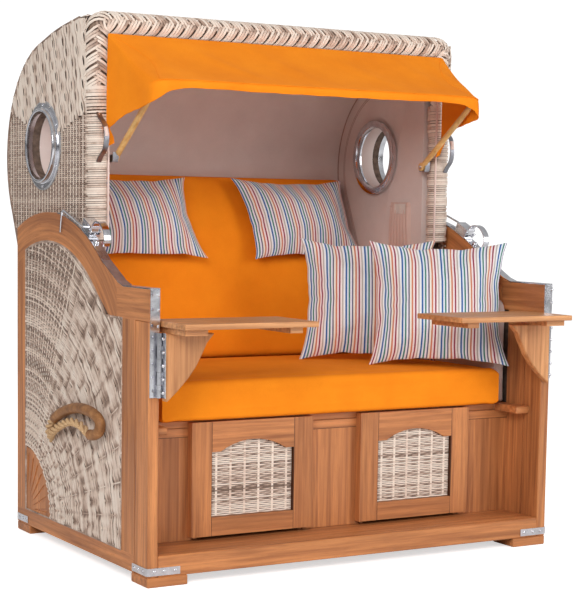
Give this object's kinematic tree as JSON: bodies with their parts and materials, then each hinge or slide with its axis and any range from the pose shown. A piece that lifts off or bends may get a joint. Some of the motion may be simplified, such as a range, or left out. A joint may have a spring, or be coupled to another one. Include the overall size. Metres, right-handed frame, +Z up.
{
  "type": "hooded beach chair",
  "caption": "Hooded beach chair: teak and wicker base, reclining hood with sun blind and portholes, pull-out footrests, swing-out tables, cushions and pillows",
  "frame": {"origin": "on the floor, under the middle of the whole chair's width and depth", "axes": "+Z up, +Y to the back of the chair, +X to the right seen from the front"},
  "size_m": [1.3286, 1.1576, 1.4599],
  "materials": {
    "teak": "oiled red-brown teak with open grain",
    "wicker": "flat woven synthetic cane, cream with brown streaks",
    "steel": "polished stainless steel",
    "orange_cloth": "plain woven outdoor cloth, orange",
    "lining_cloth": "plain woven outdoor cloth, taupe",
    "striped_cloth": "white cloth with narrow upright stripes in red, blue, green, salmon and grey",
    "rope": "laid natural-fibre rope",
    "bow_wood": "bent pale wood, clear varnish"
  },
  "bodies": {
    "base": {"side_frame_left": "teak", "side_frame_right": "teak", "front_post_left": "teak", "front_post_right": "teak", "sunray_corner_left": "teak", "sunray_corner_right": "teak", "side_wicker_left": "wicker", "side_wicker_right": "wicker", "foot_front_left": "teak", "foot_front_right": "teak", "foot_rear_left": "teak", "foot_rear_right": "teak", "corner_strap_front_left": "steel", "corner_strap_front_right": "steel", "corner_strap_rear_left": "steel", "corner_strap_rear_right": "steel", "arm_strap_left": "steel", "arm_strap_right": "steel", "side_pad_left": "lining_cloth", "side_pad_right": "lining_cloth", "rope_handle_left": "rope", "rope_handle_right": "rope", "front_sill": "teak", "base_deck": "teak", "box_front": "teak", "seat_board": "teak", "back_panel": "teak", "seat_cushion": "orange_cloth", "throw_pillow_left": "striped_cloth", "throw_pillow_right": "striped_cloth"},
    "hood": {"hood_wicker": "wicker", "hood_lining": "lining_cloth", "hood_rim": "wicker", "pocket": "lining_cloth", "back_cushion": "orange_cloth", "blind_cloth": "orange_cloth", "porthole_left": "steel", "porthole_right": "steel", "grab_handle_left": "steel", "grab_handle_right": "steel", "head_pillow_left": "striped_cloth", "head_pillow_right": "striped_cloth", "latch_block_left": "steel", "latch_block_right": "steel"},
    "bow": {"blind_bow": "bow_wood"},
    "footrest_left": {"footrest_face_left": "teak", "footrest_wicker_left": "wicker", "footrest_box_left": "teak"},
    "table_left": {"table_top_left": "teak", "table_bracket_left": "teak", "table_leaf_left": "steel"},
    "latch_left": {"latch_handle_left": "steel"},
    "footrest_right": {"footrest_face_right": "teak", "footrest_wicker_right": "wicker", "footrest_box_right": "teak"},
    "table_right": {"table_top_right": "teak", "table_bracket_right": "teak", "table_leaf_right": "steel"},
    "latch_right": {"latch_handle_right": "steel"}
  },
  "joints": [
    {"name": "hood_recline", "type": "hinge", "parent": "base", "child": "hood", "pos_m": [0, 0.19325, 0.345], "axis": [-1, 0, 0], "range_deg": [0, 30]},
    {"name": "blind_swing", "type": "hinge", "parent": "hood", "child": "bow", "pos_m": [0, 0.02325, 1.0705], "axis": [-1, 0, 0], "range_deg": [0, 40], "deforming": ["blind_cloth"]},
    {"name": "footrest_slide_left", "type": "slide", "parent": "base", "child": "footrest_left", "axis": [0, -1, 0], "range_m": [0, 0.38]},
    {"name": "table_swing_left", "type": "hinge", "parent": "base", "child": "table_left", "pos_m": [-0.603, -0.46125, 0.554], "axis": [0, 0, -1], "range_deg": [0, 110]},
    {"name": "latch_lift_left", "type": "hinge", "parent": "hood", "child": "latch_left", "pos_m": [-0.6075, -0.08171, 0.87142], "axis": [-1, 0, 0], "range_deg": [0, 45]},
    {"name": "footrest_slide_right", "type": "slide", "parent": "base", "child": "footrest_right", "axis": [0, -1, 0], "range_m": [0, 0.38]},
    {"name": "table_swing_right", "type": "hinge", "parent": "base", "child": "table_right", "pos_m": [0.603, -0.46125, 0.554], "axis": [0, 0, 1], "range_deg": [0, 110]},
    {"name": "latch_lift_right", "type": "hinge", "parent": "hood", "child": "latch_right", "pos_m": [0.6075, -0.08171, 0.87142], "axis": [-1, 0, 0], "range_deg": [0, 45]}
  ]
}
